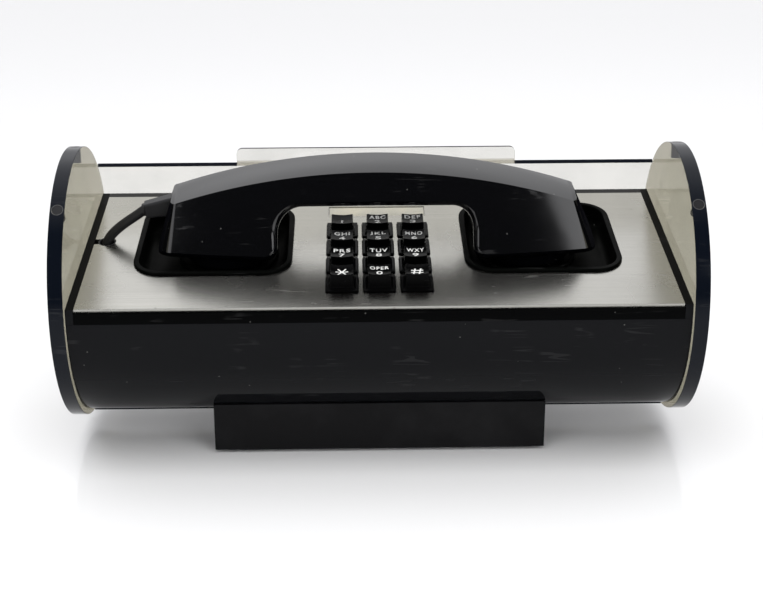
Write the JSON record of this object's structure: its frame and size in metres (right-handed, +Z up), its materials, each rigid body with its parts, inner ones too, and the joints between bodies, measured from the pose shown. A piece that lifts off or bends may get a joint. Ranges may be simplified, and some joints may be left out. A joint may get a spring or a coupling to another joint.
{
  "type": "desk telephone",
  "caption": "Push-button desk telephone in a horizontal black acrylic tube with smoked end discs, a sloping aluminium face plate, a corded handset and a roll-over cover.",
  "frame": {"origin": "on the rest plane, under the middle of the tube's axis", "axes": "+X along the tube to the user's right, +Y from front to back, +Z up"},
  "size_m": [0.3134, 0.138, 0.1495],
  "materials": {
    "matt_black": null,
    "rubber": null,
    "steel": null,
    "batten_wood": null,
    "black_acrylic": null,
    "smoked_acrylic": null,
    "black_plastic": null,
    "plug_plastic": null,
    "brushed_aluminium": null,
    "card_paper": null,
    "clear_plastic": null,
    "dark_grey_plastic": null,
    "circuit_board": null,
    "pale_rubber": null,
    "brass": null,
    "white_plastic": null,
    "grey_cable": null,
    "handset_plastic": null,
    "aluminium_can": null,
    "red_cable": null,
    "key_plastic": null
  },
  "bodies": {
    "root": {"base_block": "matt_black", "base_pad": "rubber", "base_screws": "steel", "base_batten": "batten_wood", "body_tube": "black_acrylic", "bulkhead_left": "black_acrylic", "bulkhead_right": "black_acrylic", "end_disc_left": "smoked_acrylic", "end_disc_right": "smoked_acrylic", "disc_dowels": "black_plastic", "rim_plugs": "plug_plastic", "front_rail": "black_acrylic", "rear_rail": "black_acrylic", "rail_screws": "steel", "faceplate": "brushed_aluminium", "cradle_cup_left": "black_plastic", "cradle_cup_right": "black_plastic", "card_frame": "black_plastic", "number_card": "card_paper", "card_window": "clear_plastic", "cord_grommet": "rubber", "handset_cord": "rubber", "keypad_frame": "dark_grey_plastic", "keypad_board": "circuit_board", "key_domes": "pale_rubber", "main_board": "circuit_board", "board_components": "dark_grey_plastic", "board_standoffs": "brass", "board_screws": "steel", "sounder_bracket": "steel", "sounder_housing": "dark_grey_plastic", "sounder_disc": "brass", "hook_switch": "dark_grey_plastic", "line_jack": "dark_grey_plastic", "line_lead": "grey_cable"},
    "cover": {"cover_shell": "smoked_acrylic", "cover_tab": "smoked_acrylic"},
    "handset": {"handset_body": "handset_plastic", "mouthpiece_cap": "handset_plastic", "earpiece_cap": "handset_plastic", "transmitter_capsule": "brass", "receiver_capsule": "aluminium_can", "cord_boot": "rubber", "handset_wires": "red_cable"},
    "hook_plunger": {"hook_plunger": "white_plastic"},
    "key_1": {"key_1": "key_plastic"},
    "key_2": {"key_2": "key_plastic"},
    "key_3": {"key_3": "key_plastic"},
    "key_4": {"key_4": "key_plastic"},
    "key_5": {"key_5": "key_plastic"},
    "key_6": {"key_6": "key_plastic"},
    "key_7": {"key_7": "key_plastic"},
    "key_8": {"key_8": "key_plastic"},
    "key_9": {"key_9": "key_plastic"},
    "key_star": {"key_star": "key_plastic"},
    "key_0": {"key_0": "key_plastic"},
    "key_hash": {"key_hash": "key_plastic"}
  },
  "joints": [
    {"name": "cover_roll", "type": "hinge", "parent": "root", "child": "cover", "pos_m": [0, 0, 0.0805], "axis": [-1, 0, 0], "range_deg": [-128, 0]},
    {"name": "handset_lift", "type": "slide", "parent": "root", "child": "handset", "axis": [0, -0.1788, 0.9839], "range_m": [0, 0.12]},
    {"name": "plunger_rise", "type": "slide", "parent": "root", "child": "hook_plunger", "axis": [0, -0.1788, 0.9839], "range_m": [0, 0.004]},
    {"name": "press_1", "type": "slide", "parent": "root", "child": "key_1", "axis": [0, 0.1788, -0.9839], "range_m": [0, 0.003]},
    {"name": "press_2", "type": "slide", "parent": "root", "child": "key_2", "axis": [0, 0.1788, -0.9839], "range_m": [0, 0.003]},
    {"name": "press_3", "type": "slide", "parent": "root", "child": "key_3", "axis": [0, 0.1788, -0.9839], "range_m": [0, 0.003]},
    {"name": "press_4", "type": "slide", "parent": "root", "child": "key_4", "axis": [0, 0.1788, -0.9839], "range_m": [0, 0.003]},
    {"name": "press_5", "type": "slide", "parent": "root", "child": "key_5", "axis": [0, 0.1788, -0.9839], "range_m": [0, 0.003]},
    {"name": "press_6", "type": "slide", "parent": "root", "child": "key_6", "axis": [0, 0.1788, -0.9839], "range_m": [0, 0.003]},
    {"name": "press_7", "type": "slide", "parent": "root", "child": "key_7", "axis": [0, 0.1788, -0.9839], "range_m": [0, 0.003]},
    {"name": "press_8", "type": "slide", "parent": "root", "child": "key_8", "axis": [0, 0.1788, -0.9839], "range_m": [0, 0.003]},
    {"name": "press_9", "type": "slide", "parent": "root", "child": "key_9", "axis": [0, 0.1788, -0.9839], "range_m": [0, 0.003]},
    {"name": "press_star", "type": "slide", "parent": "root", "child": "key_star", "axis": [0, 0.1788, -0.9839], "range_m": [0, 0.003]},
    {"name": "press_0", "type": "slide", "parent": "root", "child": "key_0", "axis": [0, 0.1788, -0.9839], "range_m": [0, 0.003]},
    {"name": "press_hash", "type": "slide", "parent": "root", "child": "key_hash", "axis": [0, 0.1788, -0.9839], "range_m": [0, 0.003]}
  ],
  "couplings": [
    {"joint": "plunger_rise", "follows": "handset_lift", "ratio": 0.0333}
  ]
}
